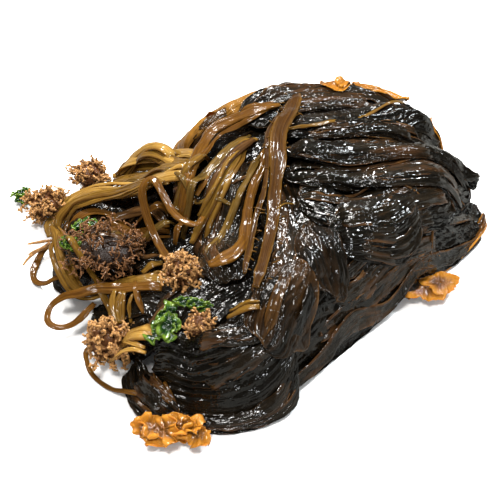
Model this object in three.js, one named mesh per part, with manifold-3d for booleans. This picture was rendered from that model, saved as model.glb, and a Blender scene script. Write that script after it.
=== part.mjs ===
// A wet, tangled bunch of wakame, a brown seaweed, lying on a flat surface.
// Its plants grew together at their holdfasts and lie matted, so it is one thing.
// Each plant has a holdfast of branching roots, flat strap stipes and long dark blades.
// Millimetres, +Z up. The bunch is laid in the order in which its pieces lie on each other.
import * as THREE from "three";
import { mergeVertices } from "three/addons/utils/BufferGeometryUtils.js";
import Module from "manifold-3d";

const wasm = await Module();
wasm.setup();

// Driving dimensions
const GAP = 0.4; // air between two pieces that lie on each other
const CELL = 2; // side of a cell of the height map
const MAP_HALF = 190; // half the side of the height map

// Blades, as folded pads
const BLADE_COLUMNS = 6; // strips across a blade's upper side
const UNDER_COLUMNS = [4, 2]; // the columns of those that its underside keeps
const BLADE_EDGE = 0.8; // how far a blade's edge stands above what it lies on
const BLADE_LEAST = 6; // least thickness of a blade that fills the mound
const BLADE_END = 0.45; // share of its width that a blade keeps at its very end
const BLADE_GROWTH = 1.6; // how fast a blade widens away from its end
const BLADE_REACH = 0.45; // share of the spacing within which a blade clears what is below
const CROWN_POWER = 2.4; // how flat a blade's crown is before it rounds down to its edges
const PLEAT = 3; // height of a blade's lengthwise pleats
const INNER_SHARE = 0.8; // share of a bend's radius that a blade's inner edge may take

// Stipes, as flat straps
const STIPE_THICK = 2.6; // thickness of a strap stipe
const STIPE_SAG = 0.05; // how readily a stipe drops between two places that hold it up
const STIPE_STEPS = 60; // samples along a stipe while it is draped
const STIPE_PASSES = 200; // rounds of smoothing while it is draped
const STIPE_SPACING = 11; // distance between two sections of a stipe
const STIPE_END = 0.6; // share of its width that a stipe keeps at its very end
const BROAD_STIPE = 6; // a stipe wider than this has a section with six sides
const CROSSING = 0.6; // further air where a stipe passes over itself

// Holdfasts and scraps, as balls that are rough by a share of their radius
const CORE_LEAST = 0.68;
const CORE_ROUGH = 0.2;
const SPIKE = { radius: 0.19, length: 0.62, root: 0.52, sides: 3 };
const SPIKE_TURN = 2.4; // angle between one root end and the next, in radians
const SPIKE_SPREAD = 1.75; // how far down the ball the root ends go, with 2 for all the way
const SCRAP_LEAST = 0.7;
const SCRAP_ROUGH = 0.35;

// The heap's form: a main mound with its long axis to the back right, and a low left lobe
const MAIN = { x: 16, y: 35, long: 144, short: 84, turn: 55, high: 58 };
const LEFT = { x: -84, y: 22, long: 48, short: 74, turn: 0, high: 25 };
const MOUND_POWERS = [1.4, 0.6]; // how flat the mound's top is, and how steep its sides

const COLOURS = {
  blade: 0x17100a,
  bladeThin: 0x8a4a12,
  stipe: 0x9a6a24,
  holdfast: 0x8c5a2c,
  root: 0x5a3428,
  lettuce: 0x1f5a1c,
};

// Long blades that form the body of the heap. top is the share of the mound that they reach.
const UNDER_BLADES = [
  {
    name: "blade_under_outer",
    route: [
      [-38, 82], [-8, 98], [34, 112], [80, 108], [108, 80],
      [100, 40], [74, 6], [42, -30], [8, -60], [-26, -80],
    ],
    width: 50, top: 0.6, steps: 15,
  },
  {
    name: "blade_under_middle",
    route: [[-34, 46], [0, 70], [38, 80], [66, 70], [70, 40], [52, 6], [20, -28], [-20, -54]],
    width: 44, top: 0.6, steps: 12,
  },
  {
    name: "blade_under_inner",
    route: [[-66, -10], [-40, 10], [-6, 32], [24, 42], [44, 30]],
    width: 48, top: 0.6, steps: 7,
  },
  {
    name: "blade_under_front",
    route: [[34, 12], [4, -8], [-28, -30], [-50, -54]],
    width: 48, top: 0.6, steps: 6,
  },
  {
    name: "blade_under_left",
    route: [[-90, -14], [-94, 16], [-88, 42], [-50, 56]],
    width: 52, top: 1, steps: 8,
  },
  {
    name: "blade_under_front_left",
    route: [[-92, -34], [-76, -38], [-56, -44], [-46, -62]],
    width: 42, top: 0.7, steps: 6,
  },
  {
    name: "blade_over_back",
    route: [[-30, 66], [-4, 84], [32, 98], [76, 94], [104, 72]],
    width: 58, top: 0.97, steps: 9,
  },
  {
    name: "blade_over_middle",
    route: [[-34, 24], [6, 46], [48, 54], [80, 42], [90, 12], [72, -14]],
    width: 50, top: 1, steps: 10,
  },
  {
    name: "blade_over_front",
    route: [[38, 18], [30, -12], [6, -38], [-22, -58], [-42, -78]],
    width: 62, top: 0.97, steps: 8,
  },
];

// Blades and lobes that show on the heap, from the lowest to the highest
const TOP_BLADES = [
  {
    name: "blade_edge_right",
    route: [[141, 62], [124, 39], [94, 11], [64, -17], [36, -43], [9, -68], [-20, -85]],
    width: 38, thick: 11, steps: 13,
  },
  {
    name: "blade_back_left",
    route: [[-60, 86], [-38, 102], [-12, 115], [18, 120]],
    width: 34, thick: 12, steps: 8,
  },
  {
    name: "blade_back",
    route: [[-6, 84], [24, 102], [58, 110], [86, 108], [106, 98]],
    width: 34, thick: 8, steps: 9,
  },
  {
    name: "blade_front_left",
    route: [[-54, -76], [-36, -87], [-14, -90], [7, -84], [21, -70]],
    width: 37, thick: 7, steps: 8,
  },
  {
    name: "blade_lobe_front_left",
    route: [[-66, -66], [-62, -82], [-50, -98], [-40, -104]],
    width: 16, thick: 4, steps: 6,
  },
  {
    name: "blade_centre",
    route: [[16, 40], [24, 12], [26, -18], [20, -46], [6, -70]],
    width: 34, thick: 6, steps: 9,
  },
  {
    name: "blade_centre_left",
    route: [[-6, 44], [-14, 16], [-18, -12], [-10, -44]],
    width: 28, thick: 5, steps: 7,
  },
  {
    name: "blade_middle_right",
    route: [[28, 12], [54, 6], [80, 10], [100, 24], [118, 38]],
    width: 36, thick: 7, steps: 9,
  },
  {
    name: "blade_crumpled",
    route: [[44, -16], [62, -12], [82, -4], [94, 8]],
    width: 30, thick: 5, steps: 7,
  },
  {
    name: "blade_tail_low",
    route: [[18, 26], [52, 30], [86, 34], [114, 46], [134, 56]],
    width: 28, thick: 7, steps: 9,
  },
  {
    name: "blade_tail_middle",
    route: [[16, 44], [52, 48], [90, 56], [118, 64], [142, 60]],
    width: 28, thick: 8, steps: 9,
  },
  {
    name: "blade_tail_high",
    route: [[10, 62], [42, 70], [74, 79], [100, 88], [120, 92]],
    width: 30, thick: 8, steps: 9,
  },
  { name: "blade_lobe_brown", route: [[34, -16], [40, -36], [44, -54]], width: 28, thick: 3, steps: 5 },
  { name: "blade_lobe_red", route: [[28, -44], [16, -66], [6, -86]], width: 32, thick: 3, steps: 6 },
];

// Thin amber tips that reach out past the dark blades
const AMBER_BLADES = [
  {
    name: "blade_tip_front",
    route: [[-62, -106], [-48, -110], [-36, -114], [-22, -110]],
    width: 18, thick: 7, steps: 6,
  },
  { name: "blade_tip_back", route: [[52, 114], [57, 124], [60, 134]], width: 13, thick: 4, steps: 4 },
  {
    name: "blade_tip_back_right",
    route: [[70, 124], [86, 123], [100, 115]],
    width: 12, thick: 4, steps: 4,
  },
  { name: "blade_tip_right", route: [[118, 102], [130, 94], [138, 82]], width: 13, thick: 4, steps: 4 },
  { name: "blade_tip_low", route: [[103, -14], [109, -10], [115, -3]], width: 9, thick: 4, steps: 5 },
];

// Flat strap stipes. lift is how high the middle of a strap arches over what it lies on.
const STIPES = [
  {
    name: "stipe_back_upper",
    route: [[-90, 92], [-79, 95], [-67, 94], [-53, 84], [-40, 71], [-29, 57]],
    width: 7, lift: 6,
  },
  {
    name: "stipe_back_wide",
    route: [[-86, 84], [-77, 87], [-67, 84], [-55, 71], [-43, 56], [-32, 46]],
    width: 12, lift: 5,
  },
  { name: "stipe_back_lower", route: [[-91, 72], [-76, 66], [-60, 57], [-46, 46], [-35, 40]], width: 8 },
  { name: "stipe_arch_under", route: [[-88, 29], [-78, 32], [-68, 33], [-58, 31], [-50, 23]], width: 6 },
  {
    name: "stipe_arch_outer",
    route: [
      [-125, 38], [-126, 44], [-120, 51], [-108, 54], [-93, 52],
      [-79, 48], [-61, 42], [-46, 35], [-35, 33],
    ],
    width: 10, lift: 2,
  },
  {
    name: "stipe_arch_inner",
    route: [[-119, 34], [-117, 40], [-110, 44], [-100, 44], [-86, 43], [-73, 39], [-61, 33], [-51, 29]],
    width: 9, lift: 2,
  },
  {
    name: "stipe_swag",
    route: [[-96, 28], [-87, 22], [-77, 18], [-68, 16], [-58, 16], [-48, 17]],
    width: 7,
  },
  { name: "stipe_front_stub", route: [[-63, -14], [-57, -10], [-51, -8]], width: 9 },
  {
    name: "stipe_loop_left",
    route: [[-120, 27], [-127, 24], [-131, 15], [-132, 5], [-128, -2], [-121, -6], [-112, -6]],
    width: 5,
  },
  {
    name: "stipe_bow_left",
    route: [
      [-122, 32], [-118, 24], [-114, 6], [-107, -12], [-99, -22],
      [-87, -23], [-75, -22], [-64, -21], [-48, -21],
    ],
    width: 9,
  },
  {
    name: "stipe_loop_front",
    route: [
      [-90, -31], [-95, -37], [-102, -42], [-111, -43], [-117, -39], [-116, -31],
      [-109, -27], [-99, -28], [-88, -26], [-74, -28], [-60, -30], [-50, -32],
    ],
    width: 7,
  },
  { name: "stipe_to_front_root", route: [[-72, -32], [-74, -40], [-73, -49]], width: 8 },
  { name: "stipe_serrated", route: [[-46, -53], [-52, -58], [-58, -61]], width: 5 },
  { name: "stipe_front_wide", route: [[-73, -61], [-62, -67], [-52, -71]], width: 16 },
  {
    name: "stipe_thin_front",
    route: [[-88, -49], [-94, -55], [-93, -62], [-89, -70], [-84, -75], [-74, -82], [-60, -89]],
    width: 3.4,
  },
  {
    name: "stipe_long_left",
    route: [[18, 92], [3, 86], [-11, 83], [-22, 79], [-29, 63], [-33, 44], [-37, 27], [-41, 16]],
    width: 10,
  },
  {
    name: "stipe_long_thin",
    route: [[4, 66], [-5, 57], [-9, 40], [-16, 23], [-22, 11], [-28, 4], [-34, -5]],
    width: 7,
  },
  {
    name: "stipe_long_bow",
    route: [[11, 50], [7, 35], [2, 20], [-1, 8], [-2, -4], [-3, -17], [-8, -28], [-15, -34], [-23, -36]],
    width: 9,
  },
  {
    name: "stipe_loop_middle",
    route: [
      [-42, -20], [-48, -10], [-55, 2], [-61, 14], [-63, 24], [-58, 28],
      [-51, 18], [-44, 7], [-36, 0], [-30, -2], [-27, 4],
    ],
    width: 5.5, lift: 2,
  },
  {
    name: "stipe_midrib",
    route: [[29, 102], [24, 76], [17, 50], [16, 27], [14, 9], [13, -7], [10, -26], [7, -44], [3, -61]],
    width: 12,
  },
  { name: "stipe_midrib_branch", route: [[-12, -71], [-3, -72], [5, -72]], width: 7 },
];

// Holdfasts: lumps of branching roots, each grown round the ends of its own stipes
const HOLDFASTS = [
  { name: "holdfast_back", at: [-103, 82], size: [14, 12, 13], spikes: 14, seed: 3 },
  { name: "holdfast_left", at: [-129, 55], size: [15, 13, 14], spikes: 15, seed: 5 },
  { name: "holdfast_middle", at: [-35, -31], size: [16, 13, 13], spikes: 15, seed: 7 },
  { name: "holdfast_front", at: [-79, -58], size: [17, 15, 16], spikes: 16, seed: 11 },
  { name: "holdfast_small", at: [-25, -69], size: [13, 9, 10], spikes: 11, seed: 13 },
  { name: "holdfast_dark", at: [-86, -2], size: [26, 19, 11], spikes: 18, seed: 17 },
];

// Scraps of green sea lettuce caught in the roots
const LETTUCE = [
  { name: "lettuce_left", at: [-146, 68], size: [7, 6, 6], seed: 23 },
  { name: "lettuce_middle", at: [-101, 21], size: [8, 7, 5], seed: 29 },
  { name: "lettuce_root", at: [-104, -2], size: [6, 7, 5], seed: 41 },
  { name: "lettuce_front", at: [-45, -67], size: [9, 13, 7], seed: 31 },
  { name: "lettuce_holdfast", at: [-31, -57], size: [9, 4, 5], seed: 37 },
];

// Height of the mound over a point of the surface that the heap lies on
function moundHeight(x, y) {
  const height = ({ x: cx, y: cy, long, short, turn, high }) => {
    const angle = THREE.MathUtils.degToRad(turn);
    const along = ((x - cx) * Math.cos(angle) + (y - cy) * Math.sin(angle)) / long;
    const across = ((y - cy) * Math.cos(angle) - (x - cx) * Math.sin(angle)) / short;
    const r = along * along + across * across;
    return r < 1 ? high * (1 - r ** MOUND_POWERS[0]) ** MOUND_POWERS[1] : 0;
  };
  return Math.max(height(MAIN), height(LEFT));
}

// Repeatable random numbers from 0 to 1
function randomFrom(seed) {
  let state = seed;
  return () => {
    state = (state * 1664525 + 1013904223) % 4294967296;
    return state / 4294967296;
  };
}

// A square map of how high the heap already reaches
const side = Math.round((2 * MAP_HALF) / CELL);
const heights = new Float32Array(side * side);
const cellOf = (value) => THREE.MathUtils.clamp(Math.round((value + MAP_HALF) / CELL), 0, side - 1);

function highest(x, y, reach) {
  let found = 0;
  const cells = Math.ceil(reach / CELL);
  for (let row = cellOf(y) - cells; row <= cellOf(y) + cells; row++)
    for (let column = cellOf(x) - cells; column <= cellOf(x) + cells; column++) {
      const dx = column * CELL - MAP_HALF - x;
      const dy = row * CELL - MAP_HALF - y;
      if (dx * dx + dy * dy <= (reach + CELL / 2) ** 2)
        found = Math.max(found, heights[row * side + column] ?? 0);
    }
  return found;
}

function average(x, y, reach) {
  let sum = 0;
  let count = 0;
  for (let dy = -reach; dy <= reach; dy += CELL)
    for (let dx = -reach; dx <= reach; dx += CELL) {
      sum += heights[cellOf(y + dy) * side + cellOf(x + dx)];
      count++;
    }
  return sum / count;
}

// Raises the map to the upper faces of a geometry
function raiseMap(geometry) {
  const position = geometry.getAttribute("position");
  const index = geometry.index;
  const a = new THREE.Vector3();
  const b = new THREE.Vector3();
  const c = new THREE.Vector3();
  for (let i = 0; i < index.count; i += 3) {
    a.fromBufferAttribute(position, index.getX(i));
    b.fromBufferAttribute(position, index.getX(i + 1));
    c.fromBufferAttribute(position, index.getX(i + 2));
    const area = (b.x - a.x) * (c.y - a.y) - (c.x - a.x) * (b.y - a.y);
    if (area <= 1e-6) continue;
    const [firstRow, lastRow] = [cellOf(Math.min(a.y, b.y, c.y)), cellOf(Math.max(a.y, b.y, c.y))];
    const [firstColumn, lastColumn] = [cellOf(Math.min(a.x, b.x, c.x)), cellOf(Math.max(a.x, b.x, c.x))];
    for (let row = firstRow; row <= lastRow; row++)
      for (let column = firstColumn; column <= lastColumn; column++) {
        const x = column * CELL - MAP_HALF;
        const y = row * CELL - MAP_HALF;
        const wa = ((b.x - x) * (c.y - y) - (c.x - x) * (b.y - y)) / area;
        const wb = ((c.x - x) * (a.y - y) - (a.x - x) * (c.y - y)) / area;
        const wc = 1 - wa - wb;
        if (wa < -0.05 || wb < -0.05 || wc < -0.05) continue;
        const z = wa * a.z + wb * b.z + wc * c.z;
        heights[row * side + column] = Math.max(heights[row * side + column], z);
      }
  }
}

// A closed surface from rings of points that all have the same count
function skin(rings) {
  const count = rings[0].length;
  const index = [];
  for (let i = 0; i + 1 < rings.length; i++)
    for (let j = 0; j < count; j++) {
      const a = i * count + j;
      const b = i * count + ((j + 1) % count);
      index.push(a, b, b + count, a, b + count, a + count);
    }
  const last = (rings.length - 1) * count;
  for (let j = 1; j + 1 < count; j++) index.push(0, j + 1, j, last, last + j, last + j + 1);
  const geometry = new THREE.BufferGeometry();
  geometry.setAttribute("position", new THREE.Float32BufferAttribute(rings.flat(2), 3));
  geometry.setIndex(index);
  return geometry;
}

function planCurve(route) {
  const points = route.map(([x, y]) => new THREE.Vector3(x, y, 0));
  return new THREE.CatmullRomCurve3(points, false, "centripetal");
}

// How sharply a plan curve bends at s, as one over the radius, positive to its left
function bendAt(curve, s) {
  const step = 0.04;
  const before = curve.getTangentAt(Math.max(0, s - step));
  const after = curve.getTangentAt(Math.min(1, s + step));
  const length = curve.getLength() * (Math.min(1, s + step) - Math.max(0, s - step));
  return (before.x * after.y - before.y * after.x) / length;
}

// A blade as a folded pad: broad, pleated along its length, thin at its edges and ends.
// Its underside clears what it lies on, and has only two lines of points between the edges.
function bladeShape({ route, width, thick, top, steps }) {
  const curve = planCurve(route);
  const spacing = curve.getLength() / steps;
  const stations = Array.from({ length: steps + 1 }, (_, i) => {
    const s = i / steps;
    const point = curve.getPointAt(s);
    const tangent = curve.getTangentAt(s);
    const taper = Math.min(1, BLADE_END + BLADE_GROWTH * Math.sqrt(Math.min(s, 1 - s)));
    const bend = bendAt(curve, s);
    return Array.from({ length: BLADE_COLUMNS + 1 }, (_, j) => {
      const u = Math.sin((j / BLADE_COLUMNS - 0.5) * Math.PI);
      const half = (width / 2) * taper;
      const out = u * bend > 0 ? Math.min(half, INNER_SHARE / Math.abs(bend)) * u : half * u;
      const x = point.x - tangent.y * out;
      const y = point.y + tangent.x * out;
      const atEdge = j === 0 || j === BLADE_COLUMNS;
      return { x, y, u, taper, atEdge, base: highest(x, y, atEdge ? CELL : BLADE_REACH * spacing) };
    });
  });
  const smoothBase = (i, j) => {
    const near = [stations[i - 1], stations[i], stations[i + 1]].filter(Boolean);
    return near.reduce((sum, station) => sum + station[j].base, 0) / near.length;
  };
  const rings = stations.map((station, i) => {
    const upper = station.map(({ x, y, u, taper, atEdge, base }, j) => {
      if (atEdge) return [x, y, base + BLADE_EDGE];
      const ground = Math.max(base, smoothBase(i, j));
      const least = ground + (top ? BLADE_LEAST : thick) * taper;
      const crown = top ? Math.max(top * moundHeight(x, y), least) : least;
      const pleat = (j % 2 ? -0.5 : 0.5) * PLEAT * taper;
      const rise = (crown - ground) * Math.sqrt(1 - Math.abs(u) ** CROWN_POWER);
      return [x, y, ground + BLADE_EDGE + rise + pleat];
    });
    const lower = UNDER_COLUMNS.map((j) => {
      const { x, y, base } = station[j];
      return [x, y, base > 0 ? base + GAP : 0];
    });
    return [...upper, ...lower].reverse();
  });
  return skin(rings);
}

// The heights of a stipe's centre line, draped like a slack band over what it crosses
function drapeStipe({ route, width, lift = 0 }) {
  const curve = planCurve(route);
  const points = Array.from({ length: STIPE_STEPS + 1 }, (_, i) => curve.getPointAt(i / STIPE_STEPS));
  const needed = [];
  points.forEach((point, i) => {
    let z = highest(point.x, point.y, width / 2 + 1) + GAP + STIPE_THICK / 2;
    points.slice(0, i).forEach((other, j) => {
      const apart = Math.hypot(point.x - other.x, point.y - other.y);
      const between = curve.getLength() * ((i - j) / STIPE_STEPS);
      if (between > 2.5 * width && apart < width + CELL)
        z = Math.max(z, needed[j] + STIPE_THICK + GAP + CROSSING);
    });
    needed.push(z + lift * Math.sin((Math.PI * i) / STIPE_STEPS));
  });
  const draped = [...needed];
  for (let pass = 0; pass < STIPE_PASSES; pass++)
    for (let i = 1; i < STIPE_STEPS; i++)
      draped[i] = Math.max(needed[i], (draped[i - 1] + draped[i + 1]) / 2 - STIPE_SAG);
  return points.map((point, i) => new THREE.Vector3(point.x, point.y, draped[i]));
}

// A strap along a draped line, with six sides if it is broad and four if it is thin
function stipeShape({ width }, line) {
  const curve = new THREE.CatmullRomCurve3(line);
  const steps = Math.max(5, Math.round(curve.getLength() / STIPE_SPACING));
  const broad = [[-1, 0], [-0.6, -1], [0.6, -1], [1, 0], [0.6, 1], [-0.6, 1]];
  const thin = [[-1, 0], [0, -1], [1, 0], [0, 1]];
  const sections = width > BROAD_STIPE ? broad : thin;
  const rings = [];
  for (let i = 0; i <= steps; i++) {
    const s = i / steps;
    const point = curve.getPointAt(s);
    const tangent = curve.getTangentAt(s);
    const across = new THREE.Vector3(-tangent.y, tangent.x, 0).normalize();
    const up = new THREE.Vector3().crossVectors(tangent, across).normalize();
    const taper = Math.min(1, STIPE_END + 2 * Math.min(s, 1 - s));
    rings.push(
      sections.map(([a, b]) => {
        const out = point.clone();
        out.addScaledVector(across, a * (width / 2) * taper);
        out.addScaledVector(up, b * (STIPE_THICK / 2));
        return [out.x, out.y, out.z];
      }),
    );
  }
  return skin(rings);
}

// The points of a three.js shape with its shared vertices merged
function merged(shape) {
  shape.deleteAttribute("normal");
  shape.deleteAttribute("uv");
  return mergeVertices(shape);
}

// A unit ball whose points stand in and out at random
function roughBall(random, least, rough) {
  const ball = merged(new THREE.IcosahedronGeometry(1, 1));
  const position = ball.getAttribute("position");
  for (let i = 0; i < position.count; i++) {
    const r = least + rough * random();
    position.setXYZ(i, position.getX(i) * r, position.getY(i) * r, position.getZ(i) * r);
  }
  return ball;
}

// A tapering root end that stands out of a unit ball
function spikeShape(out) {
  const spike = merged(new THREE.ConeGeometry(SPIKE.radius, SPIKE.length, SPIKE.sides));
  spike.translate(0, SPIKE.length / 2, 0);
  spike.applyQuaternion(new THREE.Quaternion().setFromUnitVectors(new THREE.Vector3(0, 1, 0), out));
  spike.translate(out.x * SPIKE.root, out.y * SPIKE.root, out.z * SPIKE.root);
  return spike;
}

// Scales a unit shape, moves it into place and keeps it above the surface
function placed(geometry, size, x, y, z) {
  geometry.scale(...size);
  geometry.translate(x, y, z);
  const position = geometry.getAttribute("position");
  for (let i = 0; i < position.count; i++) position.setZ(i, Math.max(GAP, position.getZ(i)));
  return geometry;
}

// A lump of roots: a rough ball with tapering root ends all round
function holdfastShape({ at, size, spikes, seed }) {
  let lump = solidOf(roughBall(randomFrom(seed), CORE_LEAST, CORE_ROUGH));
  for (let i = 0; i < spikes; i++) {
    const z = 1 - (SPIKE_SPREAD * (i + 0.5)) / spikes;
    const flat = Math.sqrt(1 - z * z);
    const out = new THREE.Vector3(flat * Math.cos(i * SPIKE_TURN), flat * Math.sin(i * SPIKE_TURN), z);
    lump = lump.add(solidOf(spikeShape(out)));
  }
  const base = average(at[0], at[1], 3 * CELL);
  return placed(geometryOf(lump), size, at[0], at[1], base + 0.62 * size[2]);
}

// A crumpled scrap of sea lettuce
function lettuceShape({ at, size, seed }) {
  const base = highest(at[0], at[1], 2 * CELL);
  const scrap = roughBall(randomFrom(seed), SCRAP_LEAST, SCRAP_ROUGH);
  return placed(scrap, size, at[0], at[1], base + 0.7 * size[2]);
}

function solidOf(geometry) {
  return new wasm.Manifold(
    new wasm.Mesh({
      numProp: 3,
      vertProperties: new Float32Array(geometry.getAttribute("position").array),
      triVerts: new Uint32Array(geometry.index.array),
    }),
  );
}

function geometryOf(solid) {
  const mesh = solid.getMesh();
  const points = new Float32Array(mesh.numVert * 3);
  for (let i = 0; i < mesh.numVert; i++)
    points.set(mesh.vertProperties.subarray(i * mesh.numProp, i * mesh.numProp + 3), i * 3);
  const geometry = new THREE.BufferGeometry();
  geometry.setAttribute("position", new THREE.BufferAttribute(points, 3));
  geometry.setIndex(new THREE.BufferAttribute(new Uint32Array(mesh.triVerts), 1));
  return geometry;
}

// The largest single body of a solid
function largest(solid) {
  return solid.decompose().reduce((best, body) => (body.volume() > best.volume() ? body : best));
}

// The same piece with its skin moved out by the gap
function swollen(geometry) {
  const larger = geometry.clone();
  larger.computeVertexNormals();
  const position = larger.getAttribute("position");
  const normal = larger.getAttribute("normal");
  for (let i = 0; i < position.count; i++)
    position.setXYZ(
      i,
      position.getX(i) + GAP * normal.getX(i),
      position.getY(i) + GAP * normal.getY(i),
      position.getZ(i) + GAP * normal.getZ(i),
    );
  return solidOf(larger);
}

const bunch = new THREE.Group();
const laid = []; // every piece laid so far, each a little larger than it is

// Takes from a piece what others already fill, and adds it to the bunch
function lay(name, geometry, colour, roughness) {
  let solid = solidOf(geometry);
  for (const other of laid) {
    if (solid.intersect(other).isEmpty()) continue;
    solid = solid.subtract(other);
  }
  laid.push(swollen(geometry).add(solidOf(geometry)));
  const kept = geometryOf(largest(solid));
  raiseMap(kept);
  kept.computeVertexNormals();
  const material = new THREE.MeshStandardMaterial({ color: colour, roughness, metalness: 0 });
  const mesh = new THREE.Mesh(kept, material);
  mesh.name = name;
  bunch.add(mesh);
}

for (const blade of [...UNDER_BLADES, ...TOP_BLADES, ...AMBER_BLADES]) {
  const colour = AMBER_BLADES.includes(blade) ? COLOURS.bladeThin : COLOURS.blade;
  lay(blade.name, bladeShape(blade), colour, 0.3);
}
for (const stipe of STIPES) {
  const line = drapeStipe(stipe);
  lay(stipe.name, stipeShape(stipe, line), COLOURS.stipe, 0.35);
}
for (const holdfast of HOLDFASTS) {
  const colour = holdfast.name === "holdfast_dark" ? COLOURS.root : COLOURS.holdfast;
  lay(holdfast.name, holdfastShape(holdfast), colour, 0.6);
}
for (const scrap of LETTUCE) lay(scrap.name, lettuceShape(scrap), COLOURS.lettuce, 0.3);

// The origin is the middle of the bunch's own box, on the surface that it lies on
const box = new THREE.Box3().setFromObject(bunch);
bunch.position.set(-(box.min.x + box.max.x) / 2, -(box.min.y + box.max.y) / 2, -box.min.z);

export default bunch;
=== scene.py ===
"""A wet, tangled bunch of wakame seaweed: pleated dark blades, tan strap stipes, frizzy holdfasts.

Most pieces are meshes laid over their own solids of the frame. Loose strands, lobes, the rim, rootlets and
the mat of fine roots have no solid of their own. Routes are plan lines in millimetres.
A blade is made of thin closed sheets with pleats along their length and ragged free edges.
"""

import math

import bpy
import numpy as np
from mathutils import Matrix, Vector
from mathutils.bvhtree import BVHTree


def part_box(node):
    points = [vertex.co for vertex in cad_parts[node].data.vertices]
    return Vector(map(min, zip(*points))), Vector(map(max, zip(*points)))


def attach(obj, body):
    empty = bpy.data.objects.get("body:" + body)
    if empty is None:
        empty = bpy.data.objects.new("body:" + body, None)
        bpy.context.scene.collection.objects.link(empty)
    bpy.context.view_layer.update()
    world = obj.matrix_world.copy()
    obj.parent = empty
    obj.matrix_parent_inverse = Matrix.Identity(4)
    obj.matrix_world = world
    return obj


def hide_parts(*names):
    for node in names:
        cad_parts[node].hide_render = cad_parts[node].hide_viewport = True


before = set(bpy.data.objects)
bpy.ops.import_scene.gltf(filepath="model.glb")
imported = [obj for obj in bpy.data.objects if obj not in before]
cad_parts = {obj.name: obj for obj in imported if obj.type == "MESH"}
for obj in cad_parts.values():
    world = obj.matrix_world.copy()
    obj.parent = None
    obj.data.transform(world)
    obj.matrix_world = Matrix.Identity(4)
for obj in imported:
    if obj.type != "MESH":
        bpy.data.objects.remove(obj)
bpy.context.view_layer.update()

MM = 0.001
SHIFT = np.array([1.9325, -7.4171])  # from the routes' plan to the frame, in millimetres

# Where the photograph was taken from, in the routes' plan, in millimetres
CAMERA_TARGET = (0, 9.7, 20)
CAMERA_DISTANCE = 750
CAMERA_ELEVATION = 48
CAMERA_LENS = 90
SENSOR_WIDTH = 36

# Measuring the solids from above
PROBE_STEP = 2.5  # between two places
PROBE_TOP = 200.0  # where the first probe starts, above everything
PROBE_SKIP = 0.02  # from a hit to the start of the next probe
INNER_SHARE = 0.8  # share of a bend's radius that a sheet's inner edge may take
LOWEST = 0.9  # no sheet reaches below this height

# Sheets of blade
SHEET_THICK = 0.6
FINE_STEPS = (0.70, 2.0)  # between two points across a sheet, and along it
COARSE_STEPS = (1.4, 3.2)  # the same on a sheet that lies low in the heap
PLEAT_LEAN = 0.7  # how far a pleat leans over, as a share of its height
RIM = 1.4  # width of the thin rim
RIM_THIN = 0.35  # how much thinner the rim is

# Straps
STRAP_COLUMNS = 8  # points across each side of a strap
STRAP_STEP = 2.0
STRAP_THICK = 1.9
STRAP_DIVE = 2.0  # how far the ends of a strap go down
STRAP_SMOOTH = 2.5  # how far a strap's heights are smoothed, in steps
FREE_LIFT = 2.2  # from the solids below to the middle of a loose strand, clear of the sheets on them

# Roots
ROOT_LOWEST = 0.5
ROOT_JOINTS = 4
# Painted shade: roots are darkest at a holdfast's core and lighter out at their forked tips, as the tangle
# shades its inside
ROOT_PAINTED_SHADES = ((0.05, 0.55), (0.4, 0.9), (0.7, 1.1))  # at both ends of a root, by its forks so far
GOLDEN_ANGLE = 2.39996  # spreads roots evenly round a holdfast


# Noise

# The hash's factors for a place's x, its y and its seed, and for the mixing
HASH_X = 374761393
HASH_Y = 668265263
HASH_SEED = 974711
HASH_MIX = 1274126177
HASH_START = 12345
WORD = 0xFFFFFFFF


def lattice(ix, iy, seed):
    """A repeatable number from -1 to 1 for each whole-numbered place."""
    h = (ix * HASH_X + iy * HASH_Y + seed * HASH_SEED + HASH_START) & WORD
    h = ((h ^ (h >> 13)) * HASH_MIX) & WORD
    h = h ^ (h >> 16)
    return (h & 0xFFFF) / 32767.5 - 1.0


def noise(x, y, seed):
    """Smooth noise from -1 to 1 over arrays of places."""
    x, y = np.broadcast_arrays(np.asarray(x, float), np.asarray(y, float))
    ix = np.floor(x).astype(np.int64)
    iy = np.floor(y).astype(np.int64)
    fx = x - ix
    fy = y - iy
    fx = fx * fx * fx * (fx * (fx * 6 - 15) + 10)
    fy = fy * fy * fy * (fy * (fy * 6 - 15) + 10)
    low = lattice(ix, iy, seed) * (1 - fx) + lattice(ix + 1, iy, seed) * fx
    high = lattice(ix, iy + 1, seed) * (1 - fx) + lattice(ix + 1, iy + 1, seed) * fx
    return low * (1 - fy) + high * fy


def smoothstep(low, high, value):
    t = np.clip((value - low) / (high - low), 0, 1)
    return t * t * (3 - 2 * t)


# Curves in plan


def unit(vectors):
    """Vectors along the last axis, made one long."""
    return vectors / np.maximum(np.linalg.norm(vectors, axis=-1, keepdims=True), 1e-9)


def tangents(line):
    return unit(np.gradient(line, axis=0))


def distances(line):
    """How far along a line each of its points is."""
    return np.concatenate([[0], np.cumsum(np.linalg.norm(np.diff(line, axis=0), axis=1))])


def centripetal(points, samples=24):
    """A dense centripetal Catmull-Rom line through points, which have two or three coordinates."""
    points = np.asarray(points, float)
    ends = [2 * points[0] - points[1], *points, 2 * points[-1] - points[-2]]
    t = np.linspace(0, 1, samples, endpoint=False)[:, None]
    line = []
    for p0, p1, p2, p3 in zip(ends, ends[1:], ends[2:], ends[3:]):
        a, b, c = (max(np.linalg.norm(q - p) ** 0.5, 1e-6) for p, q in ((p0, p1), (p1, p2), (p2, p3)))
        m1 = b * ((p1 - p0) / a - (p2 - p0) / (a + b) + (p2 - p1) / b)
        m2 = b * ((p2 - p1) / b - (p3 - p1) / (b + c) + (p3 - p2) / c)
        stretch = (2 * t**3 - 3 * t**2 + 1) * p1 + (t**3 - 2 * t**2 + t) * m1
        line.append(stretch + (-2 * t**3 + 3 * t**2) * p2 + (t**3 - t**2) * m2)
    return np.concatenate([*line, points[-1:]])


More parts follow.
